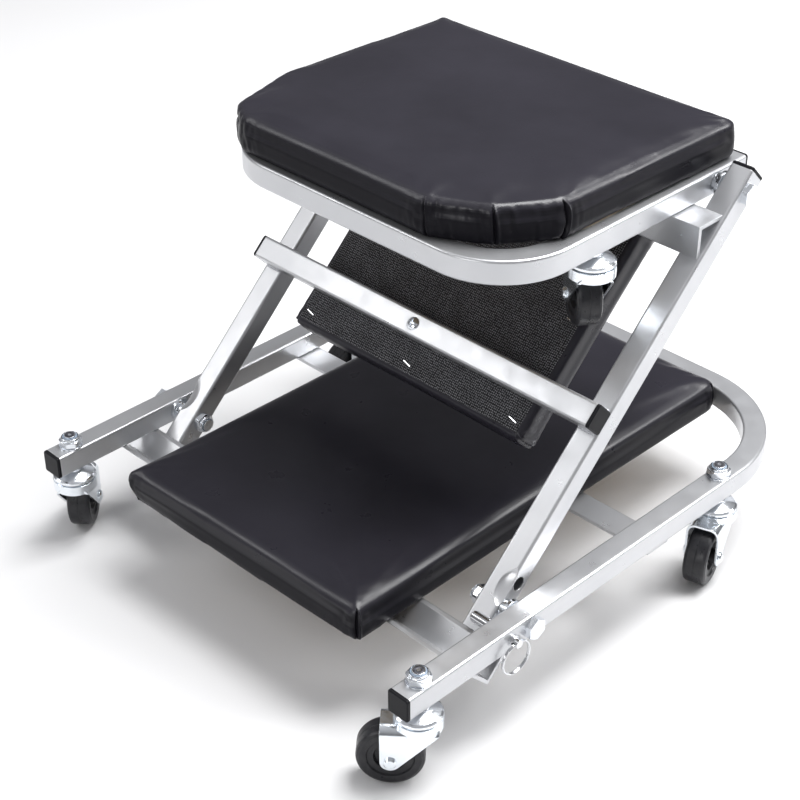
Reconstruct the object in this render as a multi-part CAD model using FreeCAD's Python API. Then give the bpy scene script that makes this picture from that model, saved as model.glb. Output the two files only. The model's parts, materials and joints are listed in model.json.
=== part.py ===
import FreeCAD, Part
import math
import os

# Folding mechanics creeper, standing in its seat position. Millimetres, +Z up, floor at z = 0.
# It is drawn with x = 0 on its middle plane and y = 0 at the open front ends of the base tubes,
# +Y towards the rounded rear rail. export_nodes() then moves the model so that its origin lies on
# the floor under the middle of the box that the creeper fills.
V = FreeCAD.Vector
X_AXIS = V(1, 0, 0)
Z_AXIS = V(0, 0, 1)
SIDES = (-1, 1)

# ---- driving dimensions -------------------------------------------------------------------------
ORIGIN_X = -7.0              # middle of the standing creeper's box; the casters' headings shift it
ORIGIN_Y = 236.0
TUBE = 20.0                  # outer size of every square steel tube
WALL = 1.5
TUBE_CORNER = 2.2
SIDE_GAP = 8.0               # between one section's tubes and the next section's, either side
BASE_HALF = 215.0            # middle plane to the outer face of a base tube
BASE_LENGTH = 490.0
BASE_BEND = 95.0             # radius of the base's rear corners, on the tube's centre line
BASE_UNDER = 72.0            # floor to the underside of the base tubes

LEAN = 43.8                  # slope of the middle section above level, in degrees
PIVOT_Y = 126.9              # base pivot
ARM = 361.7                  # base pivot to seat pivot
ARM_TOP = 377.0              # base pivot to the upper end of a middle tube
ARM_TAIL = 44.0              # base pivot to its lower end
STOP_LEG = 28.0              # leg of both stop angles
STOP_WALL = 3.0
STOP_PLAY = 0.05             # left between a stop and what rests on it

SEAT_FRONT = 149.0           # y of the seat's front rail
SEAT_REAR = 424.0            # y of the seat tubes' open ends
SEAT_BEND = 55.0

PAD_THICK = 33.0
PAD_RIM = 6.5                # vinyl and foam around the edge of a pad's board
BOARD = 9.0
CLOTH = 0.6
SCREW_R = 2.2
SEAT_SCREW_IN = 3.4          # seat pad screws from their tube's middle, towards the board
BASE_PAD = (128.0, 25.0, 467.0)      # half width, front, rear
MIDDLE_PAD = (130.0, 113.0, 318.0)   # half width, lower end, upper end, measured up the slope
SEAT_PAD = (155.0, 151.0, 418.0)
SEAT_PAD_CORNERS = (50.0, 104.0)      # left front, right front: the pad isn't quite even
PAD_CORNER = 10.0
PAD_EDGE = 9.0               # rounding of a cushion's upper edge

CROSSBAR_LOW = 146.0         # up the slope from the base pivot
CROSSBAR_HALF = 185.0
STRIP_FRONT = 266.0
STRIP_WIDTH = 25.0
STRIP_THICK = 3.0

BOLT_R = 5.0                 # M10
RUNNING = 0.06               # radial play where a part turns on a bolt or pin
HEX_FLATS = 16.0
HEAD_HEIGHT = 5.5
NUT_HEIGHT = 8.0
END_PLAY = 0.3

LOCK_REACH = 21.5            # base pivot to lock pin
LOCK_R = 4.5
LOCK_HOLE_R = 5.8
LOCK_SWEEP = 0.6             # clearance around the pin in the middle tube
LOCK_TIP_X = 175.2
COLLAR = 1.5                         # thickness of the clip ring on the pin,
COLLAR_GAP = 0.1                     # its distance from the tube's inner wall
SPRING_GAP = 0.05                    # and the spring's from the ring and the outer wall
DENT_HALF = (13.5, 17.5, 6.0)        # half sizes of the lead-in pressed into each middle tube's corner,
DENT_OUT = 2.5                       # and the place of its middle: beyond the outer face,
DENT_UP = 15.0                       # up the slope from the base pivot,
DENT_PROUD = 2.0                     # and beyond the front face
LOCK_END_X = 222.0
RING_HOLE_X = 219.0
RING_R = 14.0
RING_WIRE_R = 1.0

WHEEL_R = 25.4               # two-inch wheel
WHEEL_WIDTH = 20.0
TRAIL = 20.0                 # swivel axis to wheel axle
AXLE_R = 3.0
FORK_WALL = 2.0
FORK_GAP = 2.0               # wheel to fork leg
CROWN_R = 18.3
BALL_R = 1.6
BALLS = 12
FRONT_CASTER_Y = 18.3
REAR_CASTER_Y = 365.0
SEAT_CASTER_Y = 254.0
# heading of each caster's trail, in degrees anticlockwise from +X
HEADING = {
    "front_right": 222.0, "front_left": 133.0,
    "rear_right": 288.0, "rear_left": 255.0,
    "seat_right": 143.0, "seat_left": 160.0,
}

# ---- worked-out places --------------------------------------------------------------------------
BASE_TOP = BASE_UNDER + TUBE
PIVOT_Z = BASE_UNDER + TUBE / 2
ARM_HALF = BASE_HALF - TUBE - SIDE_GAP          # outer face of a middle tube
SEAT_HALF = ARM_HALF - TUBE - SIDE_GAP          # outer face of a seat tube
SLOPE = math.radians(LEAN)
SEAT_PIVOT_Y = PIVOT_Y + ARM * math.cos(SLOPE)
SEAT_PIVOT_Z = PIVOT_Z + ARM * math.sin(SLOPE)
SEAT_UNDER = SEAT_PIVOT_Z - TUBE / 2
SEAT_TOP = SEAT_UNDER + TUBE
LOCK_Y = PIVOT_Y - LOCK_REACH
CASTERS = {
    "front_right": (BASE_HALF - TUBE / 2, FRONT_CASTER_Y, 0.0),
    "front_left": (TUBE / 2 - BASE_HALF, FRONT_CASTER_Y, 0.0),
    "rear_right": (BASE_HALF - TUBE / 2, REAR_CASTER_Y, 0.0),
    "rear_left": (TUBE / 2 - BASE_HALF, REAR_CASTER_Y, 0.0),
    "seat_right": (SEAT_HALF - TUBE / 2, SEAT_CASTER_Y, SEAT_UNDER - BASE_UNDER),
    "seat_left": (TUBE / 2 - SEAT_HALF, SEAT_CASTER_Y, SEAT_UNDER - BASE_UNDER),
}
BASE_CASTERS = [name for name in CASTERS if not name.startswith("seat")]
SEAT_CASTERS = [name for name in CASTERS if name.startswith("seat")]


# ---- small shapes -------------------------------------------------------------------------------
def box(x0, x1, y0, y1, z0, z1):
    return Part.makeBox(x1 - x0, y1 - y0, z1 - z0, V(x0, y0, z0))


def rod(radius, x0, x1, y, z):
    """Round bar along X."""
    return Part.makeCylinder(radius, x1 - x0, V(x0, y, z), X_AXIS)


def post(radius, z0, z1, x=0.0, y=0.0):
    """Round bar along Z."""
    return Part.makeCylinder(radius, z1 - z0, V(x, y, z0), Z_AXIS)


def turned(points):
    """Solid of revolution about Z from (radius, z) points."""
    wire = Part.makePolygon([V(r, 0, z) for r, z in points + points[:1]])
    return Part.Face(wire).revolve(V(0, 0, 0), Z_AXIS, 360)


def hexagon(flats, x0, x1, y, z):
    """Hexagonal prism along X."""
    corner = flats / math.sqrt(3)
    angles = [math.radians(60 * i + 30) for i in range(7)]
    wire = Part.makePolygon([V(x0, y + corner * math.cos(a), z + corner * math.sin(a)) for a in angles])
    return Part.Face(wire).extrude(V(x1 - x0, 0, 0))


def fused(shapes):
    whole = shapes[0].multiFuse(shapes[1:])
    return whole.removeSplitter()


def mirrored(shape):
    return shape.mirror(V(0, 0, 0), X_AXIS)


def both_sides(shape):
    return Part.makeCompound([shape, mirrored(shape)])


def up_slope(shape):
    """Carry a shape drawn along +Y from the base pivot onto the sloping middle section."""
    moved = shape.copy()
    moved.rotate(V(0, 0, 0), X_AXIS, LEAN)
    moved.translate(V(0, PIVOT_Y, PIVOT_Z))
    return moved


def square_wire(size, corner):
    """Rounded square around the origin, in the XZ plane."""
    h = size / 2
    k = h - corner
    m = k + corner * math.sqrt(0.5)
    edges = []
    for turn in range(4):
        quarter = [Part.makeLine(V(-k, 0, -h), V(k, 0, -h))]
        quarter.append(Part.Arc(V(k, 0, -h), V(m, 0, -m), V(h, 0, -k)).toShape())
        for edge in quarter:
            edge.rotate(V(0, 0, 0), V(0, -1, 0), 90 * turn)
            edges.append(edge)
    return Part.Wire(edges)


def tube_faces():
    """Outer and inner section of the tube, in the XZ plane around the origin."""
    outer = Part.Face(square_wire(TUBE, TUBE_CORNER))
    inner = Part.Face(square_wire(TUBE - 2 * WALL, TUBE_CORNER - WALL))
    return outer, inner


def straight_tube(length):
    """Tube along +Y from the origin, centred on its axis."""
    outer, inner = (face.extrude(V(0, length, 0)) for face in tube_faces())
    return outer.cut(inner)


def u_frame(half, open_end, closed_end, bend, z):
    """Tube bent to a U in plan. half is to the outer face; closed_end is the outer face of the rail."""
    way = 1 if closed_end > open_end else -1
    centre_x = half - TUBE / 2
    corner_x = centre_x - bend
    corner_y = closed_end - way * (TUBE / 2 + bend)
    solids = []
    for face in tube_faces():
        leg = face.copy()
        leg.translate(V(centre_x, open_end, z))
        leg = leg.extrude(V(0, corner_y - open_end, 0))
        curve = face.copy()
        curve.translate(V(centre_x, corner_y, z))
        curve = curve.revolve(V(corner_x, corner_y, z), Z_AXIS, way * 90)
        rail = face.copy()
        rail.rotate(V(0, 0, 0), Z_AXIS, 90)
        rail.translate(V(-corner_x, closed_end - way * TUBE / 2, z))
        rail = rail.extrude(V(2 * corner_x, 0, 0))
        solids.append(fused([leg, curve, rail, mirrored(leg), mirrored(curve)]))
    return solids[0].cut(solids[1])


def end_cap(chamfer=0.8, plate=3.0, plug=12.0):
    """Plastic cap for a tube whose open end faces -Y at y = 0."""
    face = Part.Face(square_wire(TUBE, TUBE_CORNER))
    cover = face.extrude(V(0, -plate, 0))
    rim = [e for e in cover.Edges if abs(e.BoundBox.YMin + plate) < 1e-6 and e.BoundBox.YLength < 1e-6]
    cover = cover.makeChamfer(chamfer, rim)
    inside = Part.Face(square_wire(TUBE - 2 * WALL - 0.1, TUBE_CORNER - WALL)).extrude(V(0, plug, 0))
    return cover.fuse(inside)


def pan_screw(length, head_r=4.3, head_h=2.6, recess=1.4, recess_half=2.2):
    """Screw with a rounded, cross-recessed head under the origin's plane and its shank along +Z."""
    dome_r = head_r * 1.35
    dome = Part.makeSphere(dome_r, V(0, 0, dome_r - head_h))
    head = post(head_r, -head_h, 0).common(dome)
    screw = fused([head, post(SCREW_R, -0.5, length)])
    for long_x, long_y in ((recess_half, 0.5), (0.5, recess_half)):
        screw = screw.cut(box(-long_x, long_x, -long_y, long_y, -head_h - 1, recess - head_h))
    return screw


def nylon_nut(flats=HEX_FLATS, height=NUT_HEIGHT, collar=2.4):
    """Lock nut on the YZ plane, its axis along +X, with the bolt's hole through it."""
    collar_r = flats / 2 - 1.2
    body = hexagon(flats, 0, height - collar, 0, 0)
    top = rod(collar_r, height - collar, height, 0, 0)
    return fused([body, top]).cut(rod(BOLT_R, -1, height + 1, 0, 0))


# ---- frames -------------------------------------------------------------------------------------
def base_frame():
    frame = u_frame(BASE_HALF, 0.0, BASE_LENGTH, BASE_BEND, PIVOT_Z)
    inner = BASE_HALF - TUBE
    tools = [post(BOLT_R, BASE_UNDER - 1, BASE_TOP + 1, *CASTERS[n][:2]) for n in BASE_CASTERS]
    pivot_hole = rod(BOLT_R, inner - 1, BASE_HALF + 1, PIVOT_Y, PIVOT_Z)
    tools += [pivot_hole, mirrored(pivot_hole)]
    tools.append(rod(LOCK_R + RUNNING, inner - 1, BASE_HALF + 1, LOCK_Y, PIVOT_Z))
    return frame.cut(Part.makeCompound(tools))


def seat_frame():
    frame = u_frame(SEAT_HALF, SEAT_REAR, SEAT_FRONT, SEAT_BEND, SEAT_PIVOT_Z)
    tools = [post(INSERT_R, SEAT_UNDER - 1, SEAT_UNDER + TUBE / 2, *CASTERS[n][:2]) for n in SEAT_CASTERS]
    tools.append(rod(BOLT_R + RUNNING, -SEAT_HALF - 1, SEAT_HALF + 1, SEAT_PIVOT_Y, SEAT_PIVOT_Z))
    tools += [post(SCREW_R, SEAT_UNDER - 1, SEAT_TOP + 1, x, y) for x, y in seat_screw_places()]
    return frame.cut(Part.makeCompound(tools))


def lock_relief():
    """Way of the lock pin's end through the front and outer walls of the right middle tube."""
    wide = LOCK_R + LOCK_SWEEP
    start = V(LOCK_TIP_X - LOCK_SWEEP, 0, 0)
    depth = ARM_HALF + 1 - start.x
    ring = Part.makeCylinder(LOCK_REACH + wide, depth, start, X_AXIS)
    ring = ring.cut(Part.makeCylinder(LOCK_REACH - wide, depth, start, X_AXIS))
    return ring.common(box(start.x, ARM_HALF + 1, 0, 2 * TUBE, 0, 2 * TUBE))


def lead_in(grown):
    """Leaf-shaped hollow that is pressed into a middle tube's front outer corner beside its lock hole."""
    scale = FreeCAD.Matrix()
    scale.scale(*(half + grown for half in DENT_HALF))
    hollow = Part.makeSphere(1.0).transformGeometry(scale)
    hollow.translate(V(ARM_HALF + DENT_OUT, DENT_UP, TUBE / 2 + DENT_PROUD))
    return hollow


def middle_tube(side):
    """Sloping tube on the side given as -1 or 1."""
    bars = []
    for face, grown in zip(tube_faces(), (0.0, WALL)):
        bar = face.extrude(V(0, ARM_TOP + ARM_TAIL, 0))
        bar.translate(V(ARM_HALF - TUBE / 2, -ARM_TAIL, 0))
        bars.append(bar.cut(lead_in(grown)))
    tube = bars[0].cut(bars[1])
    inner = ARM_HALF - TUBE
    tube = tube.cut(rod(BOLT_R + RUNNING, inner - 1, ARM_HALF + 1, 0, 0))
    tube = tube.cut(rod(BOLT_R, inner - 1, ARM_HALF + 1, ARM, 0))
    tube = tube.cut(rod(LOCK_HOLE_R, ARM_HALF - 2 * WALL, ARM_HALF + 1, LOCK_REACH, 0))
    if side > 0:
        return up_slope(tube.cut(lock_relief()))
    return up_slope(mirrored(tube))


def middle_tube_caps(lower):
    if lower:
        cap = end_cap()
        cap.translate(V(ARM_HALF - TUBE / 2, -ARM_TAIL, 0))
    else:
        cap = end_cap(plug=8.0)
        cap.rotate(V(0, 0, 0), Z_AXIS, 180)
        cap.translate(V(ARM_HALF - TUBE / 2, ARM_TOP, 0))
    return up_slope(both_sides(cap))


def crossbar():
    bar = straight_tube(2 * CROSSBAR_HALF)
    bar.rotate(V(0, 0, 0), Z_AXIS, -90)
    bar.translate(V(-CROSSBAR_HALF, CROSSBAR_LOW + TUBE / 2, TUBE))
    hole = post(SCREW_R, 0, 2 * TUBE, 0, CROSSBAR_LOW + TUBE / 2)
    return up_slope(bar.cut(hole))


def crossbar_caps():
    cap = end_cap()
    cap.rotate(V(0, 0, 0), Z_AXIS, 90)
    cap.translate(V(CROSSBAR_HALF, CROSSBAR_LOW + TUBE / 2, TUBE))
    return up_slope(both_sides(cap))


def angle_bar(half_length, corner, leg_a, leg_b):
    """Steel angle along X. corner is the outer edge's (y, z); each leg is a vector in (y, z)."""
    def unit(leg):
        size = math.hypot(*leg)
        return leg[0] / size, leg[1] / size
    (ay, az), (by, bz) = unit(leg_a), unit(leg_b)
    w = STOP_WALL
    y, z = corner
    path = [(y, z), (y + leg_a[0], z + leg_a[1]), (y + leg_a[0] + w * by, z + leg_a[1] + w * bz),
            (y + w * (ay + by), z + w * (az + bz)),
            (y + leg_b[0] + w * ay, z + leg_b[1] + w * az), (y + leg_b[0], z + leg_b[1])]
    wire = Part.makePolygon([V(-half_length, py, pz) for py, pz in path + path[:1]])
    return Part.Face(wire).extrude(V(2 * half_length, 0, 0))


def base_stop_angle():
    """Welded under the base tubes; its rear leg takes the front faces of the middle tubes' tails."""
    down_y, down_z = -math.cos(SLOPE), -math.sin(SLOPE)
    front_face = TUBE / 2 + STOP_PLAY
    top_z = BASE_UNDER - STOP_PLAY
    to_top = (top_z - PIVOT_Z - front_face * math.cos(SLOPE)) / math.sin(SLOPE)
    top_y = PIVOT_Y + to_top * math.cos(SLOPE) - front_face * math.sin(SLOPE)
    corner = (top_y + STOP_LEG * down_y, top_z + STOP_LEG * down_z)
    rear_leg = (-STOP_LEG * down_y, -STOP_LEG * down_z)
    front_leg = (-STOP_LEG * math.sin(SLOPE), STOP_LEG * math.cos(SLOPE))
    bar = angle_bar(BASE_HALF - 2, corner, rear_leg, front_leg)
    return bar.common(box(-BASE_HALF, BASE_HALF, 0, PIVOT_Y, 0, top_z))


def seat_stop_angle():
    """Welded to the middle tubes' front faces; its level leg carries the seat tubes."""
    face_at = (SEAT_UNDER - STOP_PLAY - PIVOT_Z - TUBE / 2 * math.cos(SLOPE)) / math.sin(SLOPE)
    face_y = PIVOT_Y + face_at * math.cos(SLOPE) - TUBE / 2 * math.sin(SLOPE)
    corner = (face_y - STOP_LEG, SEAT_UNDER - STOP_PLAY)
    bar = angle_bar(ARM_HALF - 3, corner, (STOP_LEG, 0), (0, -STOP_LEG))
    keep = box(-ARM_HALF, ARM_HALF, 0, ARM_TOP, TUBE / 2, 100)
    return bar.common(up_slope(keep))


def base_cross_strip():
    reach = BASE_HALF - 2
    strip = box(-reach, reach, STRIP_FRONT, STRIP_FRONT + STRIP_WIDTH, BASE_UNDER - STRIP_THICK, BASE_UNDER)
    holes = [post(SCREW_R, BASE_UNDER - 10, BASE_UNDER + 1, x, y) for x, y in base_screw_places()]
    return strip.cut(Part.makeCompound(holes))


# ---- pads ---------------------------------------------------------------------------------------
def plate(half, y0, y1, z0, z1, front_radii, rear_r):
    """Flat block whose four upright corners are rounded, the front ones by (left, right)."""
    block = box(-half, half, y0, y1, z0, z1)
    corners = [(-half, y0, front_radii[0]), (half, y0, front_radii[1])]
    corners += [(-half, y1, rear_r), (half, y1, rear_r)]
    for x, y, radius in corners:
        upright = [e for e in block.Edges if e.BoundBox.ZLength > z1 - z0 - 0.01]
        near = [e for e in upright if abs(e.BoundBox.YMin - y) < 0.01 and abs(e.BoundBox.XMin - x) < 0.01]
        block = block.makeFillet(radius, near)
    return block


def cushion(size, z0, front_radii=(PAD_CORNER, PAD_CORNER), pocket=BOARD):
    """Vinyl-covered foam that wraps the board's edges. It is drawn face up with its back at z0."""
    half, y0, y1 = size
    block = plate(half, y0, y1, z0, z0 + PAD_THICK, front_radii, PAD_CORNER)
    rim = [e for e in block.Edges if e.BoundBox.ZMin > z0 + PAD_THICK - 0.01]
    block = block.makeFillet(PAD_EDGE, rim)
    return block.cut(board_block(size, z0, front_radii, pocket))


def board_block(size, z0, front_radii, height):
    half, y0, y1 = size
    inner = [max(radius - PAD_RIM, 4.0) for radius in front_radii]
    return plate(half - PAD_RIM, y0 + PAD_RIM, y1 - PAD_RIM, z0, z0 + height, inner, 4.0)


def board(size, z0, screws, front_radii=(PAD_CORNER, PAD_CORNER)):
    slab = board_block(size, z0, front_radii, BOARD)
    return slab.cut(Part.makeCompound([post(SCREW_R, z0 - 1, z0 + BOARD + 1, x, y) for x, y in screws]))


def face_down(shape):
    """Turn a pad drawn face up at the base pivot so that its back lies on the slope's front faces."""
    turned_over = shape.copy()
    turned_over.rotate(V(0, 0, 0), V(0, 1, 0), 180)
    turned_over.translate(V(0, 0, TUBE / 2))
    return up_slope(turned_over)


def base_screw_places():
    return [(x, STRIP_FRONT + STRIP_WIDTH / 2) for x in (-90, -30, 30, 90)]


def seat_screw_places():
    """Two screws up through the front rail and one through each side tube."""
    y = SEAT_FRONT + TUBE / 2 + SEAT_SCREW_IN
    x = SEAT_HALF - TUBE / 2 - SEAT_SCREW_IN
    return [(side * 60.0, y) for side in SIDES] + [(side * x, 315.0) for side in SIDES]


def screws_at(places, z, length):
    group = []
    for x, y in places:
        screw = pan_screw(length)
        screw.translate(V(x, y, z))
        group.append(screw)
    return Part.makeCompound(group)


def middle_pad_screw():
    screw = pan_screw(TUBE + 7.0, head_r=5.6, head_h=3.0, recess=1.8, recess_half=2.8)
    screw.rotate(V(0, 0, 0), X_AXIS, 180)
    screw.translate(V(0, CROSSBAR_LOW + TUBE / 2, TUBE / 2 + TUBE))
    return up_slope(screw)


def staples(tilt=-14.0, crown=9.0, wire=0.9, leg=5.0):
    """Wire staples that hold the backing cloth to the middle pad's board."""
    half, low, high = MIDDLE_PAD
    edge_x = half - 15.0
    places = [(x, s) for s in (low + 14.0, high - 9.0) for x in (-edge_x, 0.0, edge_x)]
    places += [(side * edge_x, (low + high) / 2) for side in SIDES]
    back = TUBE / 2
    group = []
    for x, s in places:
        parts = [box(-crown / 2, crown / 2, -wire / 2, wire / 2, back, back + wire / 2)]
        for end in (-crown / 2, crown / 2 - wire / 2):
            parts.append(box(end, end + wire / 2, -wire / 2, wire / 2, back - leg, back))
        staple = fused(parts)
        staple.rotate(V(0, 0, 0), Z_AXIS, tilt)
        staple.translate(V(x, s, 0))
        group.append(staple)
    return up_slope(Part.makeCompound(group))


# ---- pivots and lock ----------------------------------------------------------------------------
def pivot_bolt(head_x, end_x, y, z):
    """Hexagon bolt along X: the head outside head_x, the shank inwards to end_x."""
    head = hexagon(HEX_FLATS, head_x, head_x + HEAD_HEIGHT, y, z)
    return fused([head, rod(BOLT_R, end_x, head_x + 1, y, z)])


def pivot_set(head_x, y, z):
    """Bolts, nuts and spacers of one pivot, both sides, from the outer tube's outer face."""
    inner_face = head_x - 2 * TUBE - SIDE_GAP
    nut = nylon_nut()
    nut.rotate(V(0, 0, 0), Z_AXIS, 180)
    nut.translate(V(inner_face - END_PLAY, y, z))
    bolt = pivot_bolt(head_x, inner_face - END_PLAY - NUT_HEIGHT - 1.5, y, z)
    gap_x = head_x - TUBE
    spacer = rod(11.0, gap_x - 3.0, gap_x, y, z)
    spacer = spacer.fuse(rod(8.0, gap_x - SIDE_GAP + END_PLAY, gap_x, y, z))
    spacer = spacer.cut(rod(BOLT_R, gap_x - SIDE_GAP, gap_x + 1, y, z))
    return both_sides(bolt), both_sides(nut), both_sides(spacer)


def lock_pin():
    neck_r = 3.5
    body = rod(LOCK_R, LOCK_TIP_X, BASE_HALF + 2.5, LOCK_Y, PIVOT_Z)
    neck = rod(neck_r, BASE_HALF, LOCK_END_X, LOCK_Y, PIVOT_Z)
    pin = fused([body, neck])
    tip = [e for e in pin.Edges if e.BoundBox.XMax < LOCK_TIP_X + 0.01]
    pin = pin.makeChamfer(1.5, tip)
    cross = Part.makeCylinder(RING_WIRE_R + 0.6, 12, V(RING_HOLE_X, LOCK_Y - 6, PIVOT_Z), V(0, 1, 0))
    return pin.cut(cross)


def lock_collar():
    """Clip on the pin inside the base tube; the spring pushes it against the inner wall."""
    face = BASE_HALF - TUBE + WALL + COLLAR_GAP
    ring = rod(7.0, face, face + COLLAR, LOCK_Y, PIVOT_Z)
    return ring.cut(rod(LOCK_R, face - 1, face + 3, LOCK_Y, PIVOT_Z))


def lock_spring(wire_r=0.6, coils=4):
    """Coil spring between the collar and the outer wall of the base tube, each turn in two half rings.

    The half rings lean to either side by turns, so that the wire runs on smoothly from one to the next.
    """
    start = BASE_HALF - TUBE + WALL + COLLAR_GAP + COLLAR + SPRING_GAP + wire_r
    end = BASE_HALF - WALL - SPRING_GAP - wire_r
    coil_r = LOCK_R + wire_r + 0.6
    rise = (end - start) / (2 * coils)
    turn_r = math.hypot(coil_r, rise / 2)
    lean = math.degrees(math.atan2(rise / 2, coil_r))
    halves = []
    for i in range(2 * coils):
        half = Part.makeTorus(turn_r, wire_r, V(0, 0, 0), Z_AXIS, -180, 180, 180)
        half.rotate(V(0, 0, 0), Z_AXIS, 180 * (i % 2))
        half.rotate(V(0, 0, 0), V(0, 1, 0), -lean if i % 2 else lean)
        half.translate(V(0, 0, (i + 0.5) * rise))
        halves.append(half)
    coil = fused(halves)
    coil.rotate(V(0, 0, 0), V(0, 1, 0), 90)
    coil.translate(V(start, LOCK_Y, PIVOT_Z))
    return coil


def pull_ring():
    return Part.makeTorus(RING_R, RING_WIRE_R, V(RING_HOLE_X, LOCK_Y, PIVOT_Z - RING_R), X_AXIS)


# ---- casters, drawn with the swivel axis on Z, the trail along +X and the floor at z = 0 ---------
WEB_TOP = 56.5
CROWN_TOP = 60.5
CROWN_LOW = 52.0
CAP_UNDER = WEB_TOP + 2 * BALL_R + 0.06
TRACK_R = 12.5
KINGPIN_R = 4.0
INSERT_R = 6.5


def caster_stem(rise):
    """Upper race with the threaded stem, which rises into or through its tube."""
    under = BASE_UNDER
    cap = turned([(0, CAP_UNDER), (15.0, CAP_UNDER), (17.2, CAP_UNDER + 1.6), (18.0, CAP_UNDER + 2.2),
                  (18.0, CAP_UNDER + 4.2), (16.4, CAP_UNDER + 5.6), (9.0, under - 3.4), (7.6, under - 2.8),
                  (7.6, under), (0, under)])
    web_under = WEB_TOP - FORK_WALL - RUNNING
    rivet = turned([(0, 49.4), (5.0, 49.4), (6.6, 50.6), (6.6, web_under), (0, web_under)])
    neck = post(KINGPIN_R, 50, CAP_UNDER + 1)
    stem = post(BOLT_R, under - 1, under + rise)
    return fused([cap, rivet, neck, stem])


def caster_nut():
    nut = nylon_nut()
    nut.rotate(V(0, 0, 0), V(0, 1, 0), -90)
    nut.translate(V(0, 0, BASE_TOP + 1.5))
    return nut


def caster_insert():
    """Threaded insert that is set in the seat tube's lower wall, with its bulge behind the wall."""
    under = BASE_UNDER
    bulge = 7.5
    return turned([(BOLT_R, under), (INSERT_R, under), (INSERT_R, under + WALL), (bulge, under + WALL),
                   (bulge, under + 2 * WALL), (INSERT_R, under + 3 * WALL), (INSERT_R, under + 14.0),
                   (BOLT_R, under + 14.0)])


def caster_washer():
    return post(10.0, BASE_TOP, BASE_TOP + 1.5).cut(post(BOLT_R, BASE_TOP - 1, BASE_TOP + 3))


def caster_balls():
    balls = []
    for i in range(BALLS):
        a = math.radians(360.0 * i / BALLS)
        centre = V(TRACK_R * math.cos(a), TRACK_R * math.sin(a), WEB_TOP + BALL_R + 0.03)
        balls.append(Part.makeSphere(BALL_R, centre))
    return Part.makeCompound(balls)


def fork_profile():
    """Arch of the bent sheet, seen along the trail: two legs joined by the rounded web."""
    out = WHEEL_WIDTH / 2 + FORK_GAP + FORK_WALL
    bend = 8.0

    def arch(half, top, radius):
        block = box(-CROWN_R + 2.0, TRAIL + 8.0, -half, half, 0, top)
        corners = [e for e in block.Edges if e.BoundBox.XLength > 20 and e.BoundBox.ZMin > top - 0.01]
        return block.makeFillet(radius, corners)
    return arch(out, WEB_TOP, bend).cut(arch(out - FORK_WALL, WEB_TOP - FORK_WALL, bend - FORK_WALL))


def leg_outline():
    """Side view of a fork leg, as a block right across the fork: broad at the web, round at the axle."""
    boss = 7.5
    top = WEB_TOP + 5
    rear = TRAIL + boss
    front_top = -CROWN_R + 3.0
    corners = [V(front_top, -40, top), V(rear, -40, top), V(rear, -40, WHEEL_R)]
    run_x = TRAIL - front_top
    run_z = CROWN_LOW - WHEEL_R
    slope = math.atan2(run_z, run_x) + math.asin(boss / math.hypot(run_x, run_z))
    tangent = V(TRAIL - boss * math.sin(slope), -40, WHEEL_R - boss * math.cos(slope))
    low = V(TRAIL + boss * math.sin(math.pi / 8), -40, WHEEL_R - boss * math.cos(math.pi / 8))
    rim = Part.Arc(corners[2], low, tangent).toShape()
    edges = [Part.makeLine(corners[0], corners[1]), Part.makeLine(corners[1], corners[2]), rim]
    front = V(front_top, -40, CROWN_LOW)
    edges += [Part.makeLine(tangent, front), Part.makeLine(front, corners[0])]
    return Part.Face(Part.Wire(edges)).extrude(V(0, 80, 0))


def caster_fork():
    sheet = fork_profile().common(leg_outline())
    wall = post(CROWN_R, CROWN_LOW, CROWN_TOP).cut(post(CROWN_R - FORK_WALL, CROWN_LOW - 1, CROWN_TOP + 1))
    floor = post(CROWN_R, WEB_TOP - FORK_WALL, WEB_TOP)
    wheel_way = box(0, 2 * CROWN_R, FORK_WALL - CROWN_R, CROWN_R - FORK_WALL, 0, WEB_TOP - FORK_WALL)
    fork = fused([sheet, wall.cut(wheel_way), floor]).cut(post(KINGPIN_R + RUNNING, 0, CROWN_TOP + 1))
    axle_hole = Part.makeCylinder(AXLE_R, 60, V(TRAIL, -30, WHEEL_R), V(0, 1, 0))
    return fork.cut(axle_hole)


def caster_axle():
    """Riveted axle with a button on each end."""
    out = WHEEL_WIDTH / 2 + FORK_GAP + FORK_WALL
    shaft = post(AXLE_R, -out - 1, out + 1)
    button = turned([(0, out), (4.8, out), (4.8, out + 1.0), (3.6, out + 2.2), (0, out + 2.2)])
    other = button.mirror(V(0, 0, 0), Z_AXIS)
    axle = fused([shaft, button, other])
    axle.rotate(V(0, 0, 0), X_AXIS, 90)
    axle.translate(V(TRAIL, 0, WHEEL_R))
    return axle


def caster_wheel():
    half = WHEEL_WIDTH / 2
    bore = AXLE_R + RUNNING
    hub = half + FORK_GAP - 0.15
    side = [(bore, hub), (6.0, hub), (6.6, half - 5.0), (11.5, half - 5.0), (12.5, half - 2.0),
            (17.0, half - 2.0), (17.8, half - 0.6), (22.6, half - 0.2), (24.6, half - 1.2),
            (WHEEL_R, half - 3.0), (WHEEL_R, 0.35), (WHEEL_R - 0.35, 0.0)]
    wheel = turned(side + [(r, -z) for r, z in reversed(side[:-1])])
    wheel.rotate(V(0, 0, 0), X_AXIS, 90)
    wheel.translate(V(TRAIL, 0, WHEEL_R))
    return wheel


def placed(shape, name):
    """Carry a caster's piece to its place, swivelled to its heading."""
    x, y, z = CASTERS[name]
    moved = shape.copy()
    moved.rotate(V(0, 0, 0), Z_AXIS, HEADING[name])
    moved.translate(V(x, y, z))
    return moved


def placed_group(shape, names):
    return Part.makeCompound([placed(shape, name) for name in names])


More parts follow.
